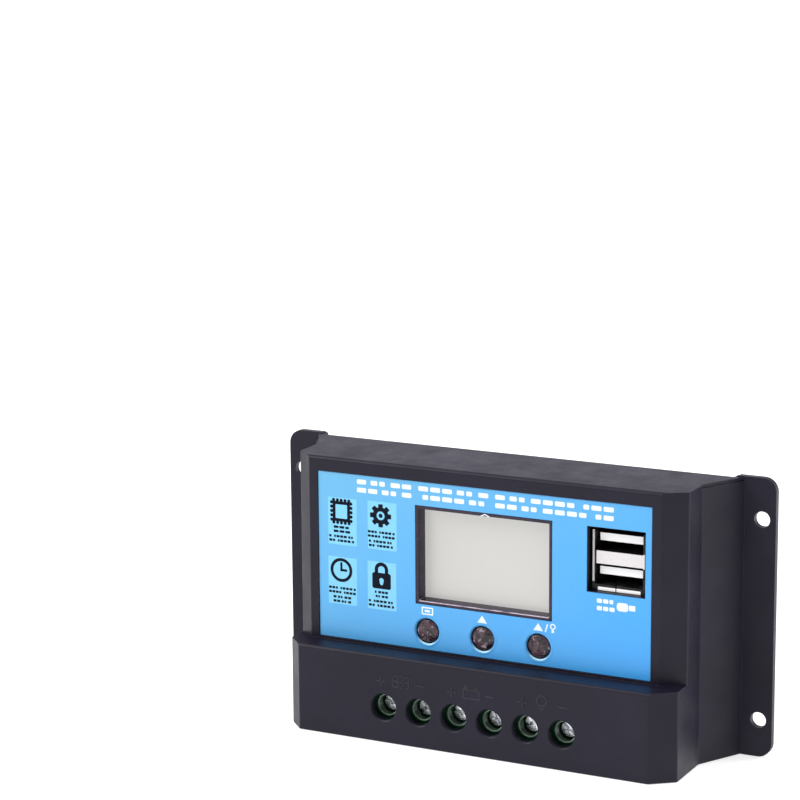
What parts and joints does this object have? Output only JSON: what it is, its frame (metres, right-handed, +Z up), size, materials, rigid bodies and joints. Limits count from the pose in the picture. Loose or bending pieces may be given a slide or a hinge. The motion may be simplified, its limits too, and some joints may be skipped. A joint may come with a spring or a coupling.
{
  "type": "solar charge controller",
  "caption": "Wall-mounted solar charge controller: moulded case with ears, display, push buttons, charging sockets and screw terminals along the bottom.",
  "frame": {"origin": "centre of the four ear holes, on the ears' back face", "axes": "+X to the right seen from the front, +Y from the front face into the wall, +Z up"},
  "size_m": [0.1334, 0.0322, 0.07],
  "materials": {
    "case_plastic": "satin moulded",
    "plate_paint": "satin black paint",
    "screw_steel": "bright zinc",
    "overlay_print": "printed film, satin",
    "rating_paper": "coated paper",
    "sticker_paper": "coated paper",
    "display_glass": "clear",
    "display_film": "satin",
    "backlight_panel": "satin",
    "carrier_plastic": "satin",
    "tinned_metal": "bright tin",
    "circuit_board": "solder mask",
    "terminal_green": "semi gloss",
    "contact_brass": "plain",
    "black_plastic": "satin",
    "socket_metal": "bright",
    "socket_white": "moulded",
    "thermal_rubber": "matte",
    "capacitor_sleeve": "shrink sleeve",
    "ferrite": "matte",
    "shunt_alloy": "plain",
    "terminal_steel": "zinc plated",
    "cage_metal": "nickel plated",
    "button_plastic": "glossy"
  },
  "bodies": {
    "housing": {"front_case": "case_plastic", "back_plate": "plate_paint", "plate_screws": "screw_steel", "front_overlay": "overlay_print", "rating_label": "rating_paper", "round_stickers": "sticker_paper", "display_glass": "display_glass", "display_film": "display_film", "display_backlight": "backlight_panel", "display_carrier": "carrier_plastic", "display_pins": "tinned_metal", "main_board": "circuit_board", "board_screws": "screw_steel", "terminal_block": "terminal_green", "contact_bars": "contact_brass", "switch_bases": "black_plastic", "switch_covers": "tinned_metal", "socket_shell": "socket_metal", "socket_tongues": "socket_white", "socket_contacts": "contact_brass", "mosfet_bodies": "black_plastic", "mosfet_tabs": "tinned_metal", "thermal_pad": "thermal_rubber", "capacitors": "capacitor_sleeve", "choke": "ferrite", "shunt_wire": "shunt_alloy", "controller_chip": "black_plastic", "chip_leads": "tinned_metal", "diodes": "black_plastic", "chip_resistors": "black_plastic"},
    "button_1": {"button_1": "button_plastic", "plunger_1": "black_plastic"},
    "button_2": {"button_2": "button_plastic", "plunger_2": "black_plastic"},
    "button_3": {"button_3": "button_plastic", "plunger_3": "black_plastic"},
    "terminal_screw_1": {"terminal_screw_1": "terminal_steel"},
    "clamp_cage_1": {"clamp_cage_1": "cage_metal"},
    "terminal_screw_2": {"terminal_screw_2": "terminal_steel"},
    "clamp_cage_2": {"clamp_cage_2": "cage_metal"},
    "terminal_screw_3": {"terminal_screw_3": "terminal_steel"},
    "clamp_cage_3": {"clamp_cage_3": "cage_metal"},
    "terminal_screw_4": {"terminal_screw_4": "terminal_steel"},
    "clamp_cage_4": {"clamp_cage_4": "cage_metal"},
    "terminal_screw_5": {"terminal_screw_5": "terminal_steel"},
    "clamp_cage_5": {"clamp_cage_5": "cage_metal"},
    "terminal_screw_6": {"terminal_screw_6": "terminal_steel"},
    "clamp_cage_6": {"clamp_cage_6": "cage_metal"}
  },
  "joints": [
    {"name": "button_1_press", "type": "slide", "parent": "housing", "child": "button_1", "axis": [0, 1, 0], "range_m": [0, 0.00035], "stiffness_N_per_m": 3000, "springref_m": -0.0002},
    {"name": "button_2_press", "type": "slide", "parent": "housing", "child": "button_2", "axis": [0, 1, 0], "range_m": [0, 0.00035], "stiffness_N_per_m": 3000, "springref_m": -0.0002},
    {"name": "button_3_press", "type": "slide", "parent": "housing", "child": "button_3", "axis": [0, 1, 0], "range_m": [0, 0.00035], "stiffness_N_per_m": 3000, "springref_m": -0.0002},
    {"name": "terminal_screw_1_turn", "type": "hinge", "parent": "housing", "child": "terminal_screw_1", "pos_m": [-0.02413, -0.026, -0.0255], "axis": [0, 1, 0], "range_deg": [0, 1800]},
    {"name": "clamp_cage_1_rise", "type": "slide", "parent": "housing", "child": "clamp_cage_1", "axis": [0, -1, 0], "range_m": [0, 0.0025]},
    {"name": "terminal_screw_2_turn", "type": "hinge", "parent": "housing", "child": "terminal_screw_2", "pos_m": [-0.01448, -0.026, -0.0255], "axis": [0, 1, 0], "range_deg": [0, 1800]},
    {"name": "clamp_cage_2_rise", "type": "slide", "parent": "housing", "child": "clamp_cage_2", "axis": [0, -1, 0], "range_m": [0, 0.0025]},
    {"name": "terminal_screw_3_turn", "type": "hinge", "parent": "housing", "child": "terminal_screw_3", "pos_m": [-0.00483, -0.026, -0.0255], "axis": [0, 1, 0], "range_deg": [0, 1800]},
    {"name": "clamp_cage_3_rise", "type": "slide", "parent": "housing", "child": "clamp_cage_3", "axis": [0, -1, 0], "range_m": [0, 0.0025]},
    {"name": "terminal_screw_4_turn", "type": "hinge", "parent": "housing", "child": "terminal_screw_4", "pos_m": [0.00483, -0.026, -0.0255], "axis": [0, 1, 0], "range_deg": [0, 1800]},
    {"name": "clamp_cage_4_rise", "type": "slide", "parent": "housing", "child": "clamp_cage_4", "axis": [0, -1, 0], "range_m": [0, 0.0025]},
    {"name": "terminal_screw_5_turn", "type": "hinge", "parent": "housing", "child": "terminal_screw_5", "pos_m": [0.01448, -0.026, -0.0255], "axis": [0, 1, 0], "range_deg": [0, 1800]},
    {"name": "clamp_cage_5_rise", "type": "slide", "parent": "housing", "child": "clamp_cage_5", "axis": [0, -1, 0], "range_m": [0, 0.0025]},
    {"name": "terminal_screw_6_turn", "type": "hinge", "parent": "housing", "child": "terminal_screw_6", "pos_m": [0.02413, -0.026, -0.0255], "axis": [0, 1, 0], "range_deg": [0, 1800]},
    {"name": "clamp_cage_6_rise", "type": "slide", "parent": "housing", "child": "clamp_cage_6", "axis": [0, -1, 0], "range_m": [0, 0.0025]}
  ],
  "couplings": [
    {"joint": "terminal_screw_1_turn", "follows": "clamp_cage_1_rise", "rad_per_m": 12566},
    {"joint": "terminal_screw_2_turn", "follows": "clamp_cage_2_rise", "rad_per_m": 12566},
    {"joint": "terminal_screw_3_turn", "follows": "clamp_cage_3_rise", "rad_per_m": 12566},
    {"joint": "terminal_screw_4_turn", "follows": "clamp_cage_4_rise", "rad_per_m": 12566},
    {"joint": "terminal_screw_5_turn", "follows": "clamp_cage_5_rise", "rad_per_m": 12566},
    {"joint": "terminal_screw_6_turn", "follows": "clamp_cage_6_rise", "rad_per_m": 12566}
  ]
}
